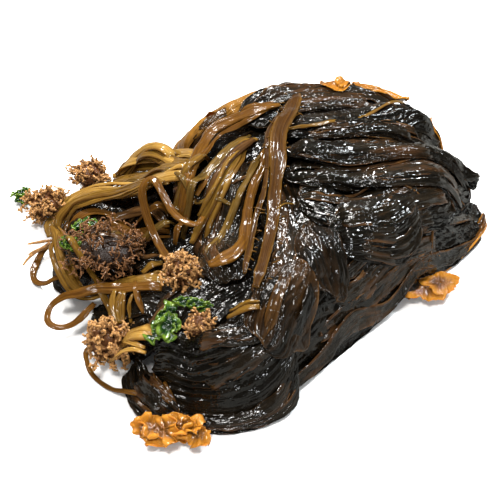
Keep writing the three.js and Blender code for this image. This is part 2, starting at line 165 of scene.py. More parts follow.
def even(line, step):
    """The same line with points an even distance apart, and how far along each point is."""
    lengths = distances(line)
    count = max(4, int(round(lengths[-1] / step)) + 1)
    along = np.linspace(0, lengths[-1], count)
    return np.stack([np.interp(along, lengths, line[:, k]) for k in range(line.shape[1])], 1), along


def laid_out(route, step=STRAP_STEP):
    """The smooth line of a route, moved from the plan to the frame, and how far along each point is."""
    points = np.asarray(route, float)
    points[:, :2] += SHIFT
    return even(centripetal(points), step)


def blurred(grid, sigma, axis):
    """A grid smoothed along one axis, with its ends held."""
    reach = int(math.ceil(3 * sigma))
    offsets = np.arange(-reach, reach + 1)
    weights = np.exp(-0.5 * (offsets / sigma) ** 2)
    weights /= weights.sum()
    size = grid.shape[axis]
    total = np.zeros_like(grid)
    for offset, weight in zip(offsets, weights):
        total += weight * np.take(grid, np.clip(np.arange(size) + offset, 0, size - 1), axis=axis)
    return total


# The solids of the frame, as surfaces to lay sheets on


def box_of(name):
    """The lowest and highest corners of a solid's box, in millimetres."""
    return (np.array(corner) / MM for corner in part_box(name))


def surface_of(node):
    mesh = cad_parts[node].data
    points = [vertex.co / MM for vertex in mesh.vertices]
    return BVHTree.FromPolygons(points, [tuple(face.vertices) for face in mesh.polygons])


def crossings(tree, x, y):
    """The heights where a vertical line meets a solid, from the top down."""
    found = []
    z = PROBE_TOP
    while True:
        hit = tree.ray_cast(Vector((x, y, z)), Vector((0, 0, -1)))
        if hit[0] is None:
            return found
        found.append(hit[0].z)
        z = hit[0].z - PROBE_SKIP


def filled(grid):
    """A grid whose missing values are spread in from their neighbours."""
    grid = grid.copy()
    while np.isnan(grid).any():
        padded = np.pad(grid, 1, constant_values=np.nan)
        near = np.stack([padded[1:-1, :-2], padded[1:-1, 2:], padded[:-2, 1:-1], padded[2:, 1:-1]])
        known = ~np.isnan(near)
        counts = known.sum(0)
        means = np.where(known, near, 0).sum(0) / np.maximum(counts, 1)
        grid = np.where(np.isnan(grid) & (counts > 0), means, grid)
    return grid


class Ground:
    """The upper side of a blade's solid, over a grid that runs along and across its route."""

    def __init__(self, node, width, route, hug):
        line, along = laid_out(route, PROBE_STEP)
        tangent = tangents(line)
        self.length = along[-1]
        s = along / self.length
        heading = np.unwrap(np.arctan2(tangent[:, 1], tangent[:, 0]))
        bend = blurred(np.gradient(heading) / np.gradient(along), 2, 0)
        columns = max(8, int(width * 1.3 / PROBE_STEP))
        half = width / 2 * np.minimum(1, 0.45 + 1.6 * np.sqrt(np.minimum(s, 1 - s)))
        u = np.sin(np.linspace(-1, 1, columns) * math.pi / 2)[None, :]
        limit = INNER_SHARE / np.maximum(np.abs(bend), 1e-6)
        inside = (u * bend[:, None]) > 0
        reach = np.where(inside, np.minimum(half, limit)[:, None], half[:, None])
        x = line[:, :1] - tangent[:, 1:] * reach * u
        y = line[:, 1:] + tangent[:, :1] * reach * u
        tree = surface_of(node)
        z = np.full(x.shape, np.nan)
        for index in np.ndindex(x.shape):
            found = crossings(tree, x[index], y[index])
            if found:
                z[index] = found[0]
        z = blurred(blurred(filled(z), hug, 0), hug * 0.7, 1)
        self.points = np.stack([x, y, z], -1)
        arc = np.linalg.norm(np.diff(self.points, axis=1), axis=2)
        self.arc = float(np.median(arc.sum(1)))

    def at(self, s, t):
        """Points for shares s along, from 0 to 1, and t across, from -1 to 1."""
        rows, columns = self.points.shape[:2]
        i = np.clip(s * (rows - 1), 0, rows - 1.001)
        j = np.clip((t + 1) / 2 * (columns - 1), 0, columns - 1.001)
        i0 = i.astype(int)
        j0 = j.astype(int)
        fi = (i - i0)[..., None]
        fj = (j - j0)[..., None]
        near = self.points[i0, j0] * (1 - fj) + self.points[i0, j0 + 1] * fj
        far = self.points[i0 + 1, j0] * (1 - fj) + self.points[i0 + 1, j0 + 1] * fj
        return near * (1 - fi) + far * fi


# Meshes


class Shell:
    """Gathers closed surfaces and their attributes into one mesh."""

    def __init__(self):
        self.points = []
        self.faces = []
        self.thin = []
        self.flow = []
        self.count = 0

    def add(self, points, faces, thin, flow):
        self.points.append(points)
        self.faces.append(faces + self.count)
        self.thin.append(thin)
        self.flow.append(flow)
        self.count += len(points)

    def add_sheet(self, top, thick, thin, flow):
        """A closed sheet from the grid of its upper side, which stays above the floor."""
        top[..., 2] = np.maximum(top[..., 2], LOWEST)
        rows, columns = top.shape[:2]
        low = rows * columns
        grid = np.arange(low).reshape(rows, columns)
        upper = np.stack([grid[:-1, :-1], grid[1:, :-1], grid[1:, 1:], grid[:-1, 1:]], -1).reshape(-1, 4)
        rim = np.concatenate([grid[0, :-1], grid[:-1, -1], grid[-1, :0:-1], grid[:0:-1, 0]])
        after = np.roll(rim, -1)
        faces = [upper, upper[:, [0, 3, 2, 1]] + low, np.stack([rim, after, after + low, rim + low], -1)]
        points = np.concatenate([top, top - grid_normals(top) * thick]).reshape(-1, 3)
        both = np.tile(np.broadcast_to(thin, (rows, columns)).reshape(-1), 2)
        self.add(points, np.concatenate(faces), both, np.tile(flow.reshape(-1, 3), (2, 1)))

    def add_tube(self, rings, thin, flow):
        """A closed tube from rings of points, an even number in each, with a fan at each end."""
        rows, sides = rings.shape[:2]
        grid = np.arange(rows * sides).reshape(rows, sides)
        after = np.roll(grid, -1, axis=1)
        quads = np.stack([grid[:-1], after[:-1], after[1:], grid[1:]], -1).reshape(-1, 4)
        first = rows * sides
        caps = []
        for j in range(0, sides, 2):
            k, m = j + 1, (j + 2) % sides
            caps.append((first, grid[0, m], grid[0, k], grid[0, j]))
            caps.append((first + 1, grid[-1, j], grid[-1, k], grid[-1, m]))
        points = np.concatenate([rings.reshape(-1, 3), rings[[0, -1]].mean(1)])
        thins = np.broadcast_to(thin, (rows, sides)).reshape(-1)
        thins = np.concatenate([thins, [thins[0], thins[-1]]])
        flows = np.concatenate([flow.reshape(-1, 3), flow[[0, -1]].mean(1)])
        self.add(points, np.concatenate([quads, np.array(caps)]), thins, flows)

    def build(self, name, material, nodes):
        mesh = bpy.data.meshes.new(name)
        points = np.concatenate(self.points) * MM
        mesh.from_pydata(points.tolist(), [], np.concatenate(self.faces).tolist(), shade_flat=False)
        thin = mesh.attributes.new("thin", "FLOAT", "POINT")
        thin.data.foreach_set("value", np.concatenate(self.thin).astype(np.float32))
        flow = mesh.attributes.new("flow", "FLOAT_VECTOR", "POINT")
        flow.data.foreach_set("vector", np.concatenate(self.flow).astype(np.float32).ravel())
        mesh.materials.append(material)
        piece = bpy.data.objects.new(name, mesh)
        bpy.context.scene.collection.objects.link(piece)
        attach(piece, "root")
        if nodes:
            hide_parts(*nodes)


def grid_normals(points):
    """Unit normals of a grid of points that runs along, then across."""
    return unit(np.cross(np.gradient(points, axis=0), np.gradient(points, axis=1)))


# Materials

WATER_IOR = 1.42


class Nodes:
    """Shorthand for a material's node tree."""

    def __init__(self, name):
        self.material = bpy.data.materials.new(name)
        self.material.use_nodes = True
        self.tree = self.material.node_tree
        self.tree.nodes.clear()

    def new(self, kind, inputs=None, **settings):
        node = self.tree.nodes.new(kind)
        for key, value in settings.items():
            setattr(node, key, value)
        for key, value in (inputs or {}).items():
            socket = node.inputs[key]
            if hasattr(value, "is_output"):
                self.tree.links.new(value, socket)
            else:
                socket.default_value = (*value, 1) if socket.type == "RGBA" else value
        return node

    def attribute(self, name, output="Fac"):
        return self.new("ShaderNodeAttribute", attribute_name=name).outputs[output]

    def noise(self, across, along, detail=3, rough=0.55):
        """Noise with the given changes in a millimetre across and along the flow."""
        stretch = {0: self.attribute("flow", "Vector"), 1: (across, along, 1)}
        placed = self.new("ShaderNodeVectorMath", stretch, operation="MULTIPLY").outputs[0]
        inputs = {"Vector": placed, "Scale": 1.0, "Detail": detail, "Roughness": rough}
        return self.new("ShaderNodeTexNoise", inputs).outputs["Fac"]

    def ramp(self, value, *stops):
        node = self.new("ShaderNodeValToRGB", {"Fac": value})
        elements = node.color_ramp.elements
        while len(elements) < len(stops):
            elements.new(0.5)
        for element, (position, colour) in zip(elements, stops):
            element.position = position
            element.color = (*colour, 1)
        return node.outputs["Color"]

    def mapped(self, value, low, high, to_low=0.0, to_high=1.0):
        inputs = {"Value": value, "From Min": low, "From Max": high, "To Min": to_low, "To Max": to_high}
        return self.new("ShaderNodeMapRange", inputs).outputs["Result"]

    def maths(self, operation, a, b):
        return self.new("ShaderNodeMath", {0: a, 1: b}, operation=operation).outputs[0]

    def mixed(self, factor, a, b):
        return self.new("ShaderNodeMix", {0: factor, 6: a, 7: b}, data_type="RGBA").outputs[2]

    def bump(self, height, strength, distance, normal=None):
        inputs = {"Height": height, "Strength": strength, "Distance": distance}
        if normal is not None:
            inputs["Normal"] = normal
        return self.new("ShaderNodeBump", inputs).outputs["Normal"]

    def finish(self, shader):
        output = self.new("ShaderNodeOutputMaterial")
        self.tree.links.new(shader, output.inputs["Surface"])
        return self.material

    def wet(self, colour, roughness, normal, through, share, coat=1.0, coat_roughness=0.08):
        """A wet surface that some light shines through."""
        shader = self.new(
            "ShaderNodeBsdfPrincipled",
            {
                "Base Color": colour,
                "Roughness": roughness,
                "Normal": normal,
                "IOR": WATER_IOR,
                "Specular IOR Level": 0.06,
                "Coat Weight": coat,
                "Coat Roughness": coat_roughness,
                "Coat IOR": WATER_IOR,
                "Coat Normal": normal,
            },
        ).outputs[0]
        glow = self.new("ShaderNodeBsdfTranslucent", {"Color": through, "Normal": normal}).outputs[0]
        return self.finish(self.new("ShaderNodeMixShader", {0: share, 1: shader, 2: glow}).outputs[0])


def blade_material(name, stops, glow, through, coat=1.0):
    """Wet blade, from dark where it lies thick and in its pleats' valleys, where shade is painted, to amber
    where it is thin.
    """
    n = Nodes(name)
    patches = n.noise(0.07, 0.022, 3)
    streaks = n.noise(0.55, 0.035, 3)
    amount = n.maths("ADD", n.attribute("thin"), n.mapped(patches, 0.3, 0.7, -0.16, 0.2))
    amount = n.maths("ADD", amount, n.mapped(streaks, 0.3, 0.7, -0.12, 0.12))
    colour = n.ramp(amount, *stops)
    wrinkles = n.noise(0.8, 0.06, 1)
    crinkle = n.noise(0.5, 0.3, 1, 0.4)
    wet_patches = n.mapped(n.noise(0.09, 0.05, 2), 0.4, 0.62, 0.3, 1.5)
    normal = n.bump(n.noise(0.17, 0.09, 1), 1.0, 0.0016)
    normal = n.bump(wrinkles, 1.0, 0.0009, normal)
    normal = n.bump(n.maths("MULTIPLY", crinkle, wet_patches), 1.0, 0.0008, normal)
    specks = n.maths("MULTIPLY", n.noise(1.5, 0.9, 1), wet_patches)
    normal = n.bump(specks, 1.0, 0.00022, normal)
    return n.wet(colour, 0.4, normal, through, n.mapped(amount, 0.45, 1.0, 0.0, glow), coat)


def stipe_material(name, light, deep, edge):
    """Wet strap with fine lines along it, darker along its edges."""
    n = Nodes(name)
    lines = n.noise(1.3, 0.02, 3)
    patches = n.noise(0.10, 0.035, 3)
    tone = n.mixed(n.mapped(lines, 0.35, 0.68), deep, light)
    tone = n.mixed(n.mapped(patches, 0.45, 0.75, 0.0, 0.7), tone, deep)
    colour = n.mixed(n.mapped(n.attribute("thin"), 0.0, 1.0, 0.0, 0.75), tone, edge)
    normal = n.bump(n.noise(1.1, 0.04, 1), 0.8, 0.0005)
    normal = n.bump(n.noise(0.35, 0.16, 1), 1.0, 0.0006, normal)
    return n.wet(colour, 0.4, normal, (light[0] * 1.6, light[1] * 1.5, light[2]), 0.22, 0.6, 0.10)


def root_material(name, light, deep, rough=0.45):
    """Damp root ends: darker towards the core, which thin 0 marks, as painted shade inside the tangle."""
    n = Nodes(name)
    mottle = n.noise(0.45, 0.45, 3)
    amount = n.maths("ADD", n.attribute("thin"), n.mapped(mottle, 0.3, 0.7, -0.3, 0.3))
    colour = n.mixed(n.mapped(amount, 0.15, 0.95), deep, light)
    normal = n.bump(n.noise(1.2, 1.2, 3), 0.6, 0.0006)
    return n.wet(colour, rough, normal, light, 0.15, 0.35, 0.15)


def lettuce_material(name, stops):
    """Wet green sheet, darker in patches."""
    n = Nodes(name)
    mottle = n.noise(0.25, 0.25)
    amount = n.maths("ADD", n.attribute("thin"), n.mapped(mottle, 0.3, 0.7, -0.45, 0.45))
    normal = n.bump(n.noise(0.9, 0.9), 0.6, 0.0008)
    return n.wet(n.ramp(amount, *stops), 0.3, normal, (0.06, 0.20, 0.015), 0.2)


# Colours of a sheet by how thin it is, from 0 to 1: the amber at the thin end is partly the sheet's own
# colour and partly painted glow of light shining through it
DARK_STOPS = [
    (0.0, (0.0030, 0.0022, 0.0012)),
    (0.22, (0.0095, 0.0062, 0.0030)),
    (0.45, (0.040, 0.0165, 0.005)),
    (0.75, (0.10, 0.045, 0.010)),
    (1.0, (0.40, 0.15, 0.012)),
]
BROWN_STOPS = [
    (0.0, (0.0030, 0.0022, 0.0012)),
    (0.3, (0.018, 0.0085, 0.0028)),
    (0.6, (0.070, 0.030, 0.006)),
    (1.0, (0.28, 0.13, 0.02)),
]
# Bright amber: partly the thin tips' own colour, partly painted glow of light shining through them
AMBER_STOPS = [
    (0.0, (0.04, 0.016, 0.005)),
    (0.3, (0.16, 0.058, 0.007)),
    (0.6, (0.34, 0.130, 0.010)),
    (1.0, (0.56, 0.25, 0.03)),
]
GREEN_STOPS = [(0.1, (0.004, 0.014, 0.003)), (0.6, (0.012, 0.045, 0.005)), (1.0, (0.10, 0.16, 0.015))]

# The light, deep and edge colours of each tone of strap
STRAP_COLOURS = {
    "pale": ((0.42, 0.25, 0.058), (0.18, 0.090, 0.014), (0.09, 0.033, 0.004)),
    "golden": ((0.21, 0.112, 0.016), (0.075, 0.034, 0.005), (0.045, 0.016, 0.003)),
    "olive": ((0.16, 0.092, 0.018), (0.055, 0.028, 0.005), (0.03, 0.013, 0.003)),
    "orange": ((0.15, 0.064, 0.008), (0.055, 0.020, 0.003), (0.12, 0.050, 0.006)),
    "brown": ((0.11, 0.050, 0.014), (0.04, 0.017, 0.005), (0.02, 0.008, 0.003)),
    "red_brown": ((0.075, 0.031, 0.006), (0.025, 0.010, 0.003), (0.15, 0.070, 0.010)),
}

BLADE = blade_material("wet_blade", DARK_STOPS, 0.35, (0.5, 0.18, 0.02))
BLADE_BROWN = blade_material("wet_brown_blade", BROWN_STOPS, 0.4, (0.5, 0.17, 0.02), 0.7)
BLADE_AMBER = blade_material("wet_amber_blade", AMBER_STOPS, 0.45, (0.75, 0.28, 0.015))
STIPES_BY_TONE = {tone: stipe_material(f"wet_{tone}_stipe", *row) for tone, row in STRAP_COLOURS.items()}
HOLDFAST = root_material("holdfast_roots", (0.46, 0.24, 0.085), (0.085, 0.033, 0.012))
ROOT_DARK = root_material("dark_roots", (0.20, 0.090, 0.036), (0.016, 0.009, 0.006), 0.3)
LETTUCE = lettuce_material("sea_lettuce", GREEN_STOPS)


# Blades


def pleats(a, b, seed, fold, period):
    """Height and sideways shift of the pleats at a across and b along, in millimetres."""
    phase = (a + 5.0 * noise(b / 36, a / 22, seed + 1) + 1.6 * noise(b / 14, a / 8, seed + 2)) / period
    crest = 1 - 2 * np.abs(np.sin(math.pi * phase)) ** 0.75
    second = 1 - 2 * np.abs(np.sin(math.pi * (2.3 * phase + 0.8 * noise(b / 30, a / 15, seed + 3)))) ** 0.8
    strength = 0.15 + 0.85 * smoothstep(-0.5, 0.5, noise(a / (2 * period), b / 26, seed + 4))
    crumple = noise(a / 4.2, b / 5.5, seed + 5) + 0.55 * noise(a / 2.1, b / 2.9, seed + 6)
    broad = noise(a / 9 + 0.8 * noise(b / 30, 0.5, seed + 7), b / 40, seed + 8)
    height = fold * (strength * (crest + 0.38 * second) + 0.9 * broad) + 0.35 * crumple
    return height, PLEAT_LEAN * fold * strength * crest


def edge_reach(along, ragged, coarse, fine, row, seed):
    """How far one ragged edge of a sheet reaches, as a share of its even reach."""
    waves = 0.12 * noise(along / coarse, row, seed) + 0.06 * noise(along / fine, row + 1, seed + 1)
    return 1 + ragged * waves


def end_taper(end, distance):
    """A sheet's width near an end, as a share of its full width: end at the end itself."""
    return end + (1 - end) * np.sqrt(np.clip(distance * 1.6, 0, 1))


def lay_sheet(
    shell, ground, seed, spans=(0, 1), centre=(0, 0), half=(1, 1), lift=0.0, dive=0.0, arch=0.0, fold=1.0,
    period=7.0, ragged=1.0, curl=0.0, steps=FINE_STEPS, thin=0.0, ends=(0.35, 0.35), wander=0.0,
):
    """Lays one closed sheet on a ground, over shares of its length and width."""
    length = ground.length * (spans[1] - spans[0])
    width = ground.arc * max(half)
    v = np.linspace(0, 1, max(8, int(length / steps[1])))[:, None]
    h = np.linspace(-1, 1, max(7, int(width / steps[0])))[None, :]
    to_end = np.minimum(v, 1 - v)

    # The outline, as shares of the ground's length and width
    along = v * length + spans[0] * ground.length
    middle = centre[0] + (centre[1] - centre[0]) * v + wander * noise(along / 34, 0.5, seed + 10)
    taper = np.minimum(*(end_taper(e, d * length / max(width, 1)) for e, d in zip(ends, (v, 1 - v))))
    left = edge_reach(along, ragged, 17, 4.2, 0.5, seed + 11)
    right = edge_reach(along, ragged, 15, 4.6, 2.5, seed + 13)
    reach = h * np.where(h < 0, left, right) * taper * (half[0] + (half[1] - half[0]) * v)
    jags = noise(h * width / 9, 4.5, seed + 15) + 0.4 * noise(h * width / 2.6, 5.5, seed + 16)
    jitter = np.where(v < 0.5, -1, 1) * smoothstep(0.12, 0.0, to_end) * (ragged * 2.2 * jags)
    s = (along + jitter) / ground.length
    points = ground.at(np.clip(s, 0, 1), np.clip(middle + reach, -1, 1))
    aside = reach * ground.arc / 2
    along = np.broadcast_to(along, aside.shape)

    # The pleats and the lift above the ground
    soft = blurred(blurred(points, 2, 0), 2, 1)
    to_edge = np.minimum((1 - np.abs(h)) * width * taper / 2, to_end * length)
    inner = smoothstep(0, 3.5, to_edge)
    rise, shift = pleats(aside, along, seed, fold, period)
    sunk = dive * smoothstep(9, 0, to_end * length)
    ruffled = curl * (1 - inner) * (1.3 * noise(along / 5.5, h * 0.7, seed + 21) + 0.4)
    height = lift + arch * (1 - h * h) + rise * (0.3 + 0.7 * inner) - sunk + ruffled
    points = points + grid_normals(soft) * height[..., None]
    points = points + unit(np.gradient(soft, axis=1)) * (shift * inner)[..., None]

    # Thin rims, and painted shade that darkens the pleats' valleys
    edge = to_edge + 0.5 * noise(aside / 2.5, along / 4, seed + 31)
    thinness = thin + RIM_THIN * smoothstep(RIM, 0.0, edge) * (0.6 + 0.6 * noise(along / 14, h, seed + 32))
    # Painted shade: the sheet's colour is darker where its pleats sink
    thinness = thinness - 0.10 * smoothstep(0, -1.5 * max(fold, 0.3), rise)
    flow = np.stack([aside, along, np.full(aside.shape, seed * 7.3)], -1)
    shell.add_sheet(points, SHEET_THICK, thinness, flow)


def blade(
    name, width, route, seed, material=BLADE, slot="blade", fold=1.6, ribbons=9, ribbon=7.0, period=3.6,
    thin=0.0, hug=1.4, curl=0.8, steps=FINE_STEPS, tones=(-0.05, 0.28), ends=(0.35, 0.35),
):
    """A folded blade: one broad pleated sheet over its solid, and narrow folds that rise out of it."""
    ground = Ground(name, width, route, hug)
    shell = Shell()
    common = {"curl": curl, "steps": steps}
    lay_sheet(shell, ground, seed, fold=fold, period=period, thin=thin, ends=ends, **common)
    random = np.random.default_rng(seed)
    for k in range(ribbons):
        spans = (random.uniform(0.0, 0.35), random.uniform(0.65, 1.0))
        place = -0.82 + 1.64 * (k + random.uniform(0.15, 0.85)) / ribbons
        share = ribbon / ground.arc * random.uniform(0.7, 1.7)
        lay_sheet(
            shell, ground, seed + 100 * (k + 1), spans, (place + random.uniform(-0.2, 0.2), place),
            (share, share * random.uniform(0.7, 1.3)), lift=random.uniform(0.3, 1.8), dive=3.5,
            arch=random.uniform(0.2, 1.3), fold=0.7 * fold, period=random.uniform(2.0, 3.2), ragged=1.8,
            thin=thin + random.uniform(*tones), ends=(0.1, 0.1), wander=0.13, **common,
        )
    shell.build(name + "_sheets", material, [name])


# The name, width and route of each blade that hardly shows
HIDDEN_BLADES = [
    ("blade_under_outer", 50, [(-38, 82), (-8, 98), (34, 112), (80, 108), (108, 80), (100, 40), (74, 6),
     (42, -30), (8, -60), (-26, -80)]),
    ("blade_under_middle", 44, [(-34, 46), (0, 70), (38, 80), (66, 70), (70, 40), (52, 6), (20, -28),
     (-20, -54)]),
    ("blade_under_inner", 48, [(-66, -10), (-40, 10), (-6, 32), (24, 42), (44, 30)]),
    ("blade_under_front", 48, [(34, 12), (4, -8), (-28, -30), (-50, -54)]),
    ("blade_under_front_left", 42, [(-92, -34), (-76, -38), (-56, -44), (-46, -62)]),
    ("blade_over_back", 58, [(-30, 66), (-4, 84), (32, 98), (76, 94), (104, 72)]),
    ("blade_over_middle", 50, [(-34, 24), (6, 46), (48, 54), (80, 42), (90, 12), (72, -14)]),
    ("blade_over_front", 62, [(38, 18), (30, -12), (6, -38), (-22, -58), (-42, -78)]),
]

# The same of each blade that shows, then what sets it apart
TOP_BLADES = [
    ("blade_edge_right", 38, [(141, 62), (124, 39), (94, 11), (64, -17), (36, -43), (9, -68), (-20, -85)],
     dict(ribbons=10, period=2.8, fold=1.3, ribbon=6)),
    ("blade_back", 34, [(-6, 84), (24, 102), (58, 110), (86, 108), (106, 98)], dict(thin=0.05)),
    ("blade_front_left", 37, [(-54, -76), (-36, -87), (-14, -90), (7, -84), (21, -70)],
     dict(ribbons=6, period=2.8, fold=1.1, ribbon=9)),
    ("blade_lobe_front_left", 16, [(-66, -66), (-62, -82), (-50, -98), (-40, -104)],
     dict(ribbons=3, thin=0.15)),
    ("blade_centre", 34, [(16, 40), (24, 12), (26, -18), (20, -46), (6, -70)], dict(thin=0.1)),
    ("blade_centre_left", 28, [(-6, 44), (-14, 16), (-18, -12), (-10, -44)], dict(ribbons=7, thin=0.15)),
    ("blade_middle_right", 36, [(28, 12), (54, 6), (80, 10), (100, 24), (118, 38)], dict(fold=1.6)),
    ("blade_crumpled", 30, [(44, -16), (62, -12), (82, -4), (94, 8)], dict(ribbons=8, fold=1.8)),
    ("blade_tail_low", 28, [(18, 26), (52, 30), (86, 34), (114, 46), (134, 56)],
     dict(ribbons=10, fold=1.6)),
    ("blade_tail_middle", 28, [(16, 44), (52, 48), (90, 56), (118, 64), (142, 60)],
     dict(ribbons=10, fold=1.6)),
    ("blade_tail_high", 30, [(10, 62), (42, 70), (74, 79), (100, 88), (120, 92)],
     dict(ribbons=10, fold=1.6)),
]

BACK_LEFT = ("blade_back_left", 34, [(-60, 86), (-38, 102), (-12, 115), (18, 120)])
BROWN_BLADES = [
    ("blade_under_left", 52, [(-90, -14), (-94, 16), (-88, 42), (-50, 56)], dict(ribbons=7, thin=0.0)),
    (*BACK_LEFT, dict(ribbons=6, thin=0.45, ribbon=13, fold=0.9, period=8, tones=(-0.2, 0.5))),
    ("blade_lobe_brown", 28, [(34, -16), (40, -36), (44, -54)],
     dict(ribbons=3, fold=0.8, period=4, thin=0.08, curl=1.6, tones=(-0.1, 0.2))),
    ("blade_lobe_red", 32, [(28, -44), (16, -66), (6, -86)],
     dict(ribbons=4, fold=0.8, period=4, thin=0.22, curl=1.5, tones=(-0.2, 0.3))),
]

# The name, width and route of each thin tip, then its shares of the width at its ends
AMBER_BLADES = [
    ("blade_tip_back", 17, [(50, 110), (57, 124), (60, 134)], (0.9, 0.02)),
    ("blade_tip_back_right", 15, [(66, 124), (84, 124), (101, 114)], (0.5, 0.02)),
    ("blade_tip_right", 17, [(116, 103), (130, 94), (139, 81)], (0.6, 0.15)),
]

# The span, middle, half width and height of each thin amber-brown lobe over the back left blade
BACK_LOBES = [
    ((0.12, 0.5), -0.35, 0.5, 2.4),
    ((0.35, 0.78), -0.1, 0.5, 3.6),
    ((0.5, 0.98), -0.5, 0.5, 3.0),
    ((0.2, 0.7), 0.45, 0.4, 2.6),
]


def back_lobes():
    """Thin lobes with curled edges that lie on the back left blade."""
    ground = Ground(*BACK_LEFT, 2.0)
    shell = Shell()
    for index, (spans, centre, half, lift) in enumerate(BACK_LOBES):
        lay_sheet(
            shell, ground, 3500 + 31 * index, spans, (centre, centre + 0.15), (half, 0.8 * half), lift=lift,
            dive=5, arch=1.5, fold=0.4, period=8, ragged=1.6, curl=1.6, thin=0.9, ends=(0.2, 0.2),
        )
    shell.build("lobes_back_left", BLADE_BROWN, [])


for index, piece in enumerate(HIDDEN_BLADES):
    blade(*piece, 1000 + 37 * index, ribbons=5, ribbon=11, steps=COARSE_STEPS, tones=(-0.1, 0.15))
for index, (*piece, traits) in enumerate(TOP_BLADES):
    blade(*piece, 2000 + 37 * index, **traits)
for index, (*piece, traits) in enumerate(BROWN_BLADES):
    blade(*piece, 3000 + 37 * index, BLADE_BROWN, "blade_brown", **traits)
back_lobes()
for index, (*piece, ends) in enumerate(AMBER_BLADES):
    blade(
        *piece, 4000 + 37 * index, BLADE_AMBER, "blade_thin", fold=0.35, ribbons=1, ribbon=5, period=6,
        thin=0.45, hug=0.8, curl=1.1, tones=(0.0, 0.3), ends=ends, steps=(0.5, 0.7),
    )


RUFFLE_ROWS = 10
RUFFLE_COLUMNS = 52


def ruffle(shell, centre, size, random, seed, tilt=0.7, thick=0.35, pale=0.0):
    """A small sheet with a deeply ruffled edge."""
    r = np.linspace(0.06, 1, RUFFLE_ROWS)[:, None]
    turn = np.linspace(0, math.tau, RUFFLE_COLUMNS)[None, :]
    closed = smoothstep(0, 0.5, turn) * smoothstep(math.tau, math.tau - 0.5, turn)
    wave = noise(turn * 2.2, r * 1.5, seed) * smoothstep(0.3, 1, r) * 0.7 * closed
    wave = wave + 0.4 * noise(turn * 4.5, r * 2.5, seed + 3) * smoothstep(0.4, 1, r) * closed
    reach = 1 + 0.3 * noise(turn * 1.6, 0.5, seed + 1) * closed
    reach = reach + 0.12 * noise(turn * 6, 0.5, seed + 4) * closed
    crinkle = 0.12 * noise(r * 5, turn * 3, seed + 2)
    local = np.stack([r * reach * np.cos(turn), r * reach * np.sin(turn), wave + crinkle], -1)
    lean, roll = random.uniform(-tilt, tilt, 2)
    ca, sa = math.cos(lean), math.sin(lean)
    cb, sb = math.cos(roll), math.sin(roll)
    about_x = np.array([[1, 0, 0], [0, ca, -sa], [0, sa, ca]])
    about_y = np.array([[cb, 0, sb], [0, 1, 0], [-sb, 0, cb]])
    points = centre + local @ about_x @ about_y * size
    flow = np.stack([r * 8 * np.cos(turn), r * 8 * np.sin(turn), np.full(wave.shape, seed * 1.7)], -1)
    thinness = pale + (1 - pale) * smoothstep(0.3, 1, r)
    shell.add_sheet(points[:, ::-1], thick, thinness, flow[:, ::-1])


def frilly_tip(name, seed, count, size, tilt=0.8):
    """A frilled blade end: ruffled sheets along the middle of its solid."""
    low, high = box_of(name)
    random = np.random.default_rng(seed)
    shell = Shell()
    for k in range(count):
        share = 0.18 + 0.64 * k / (count - 1)
        place = low + (high - low) * np.array([share, random.uniform(0.3, 0.7), random.uniform(0.35, 0.75)])
        ruffle(shell, place, size * random.uniform(0.8, 1.15), random, seed + 10 * k, tilt, 0.4, 0.2)
    shell.build(name + "_frill", BLADE_AMBER, [name])


frilly_tip("blade_tip_front", 4500, 8, np.array([9.5, 8.5, 7.0]))
frilly_tip("blade_tip_low", 4600, 2, np.array([11.0, 8.5, 2.4]), 0.25)


# Stipes

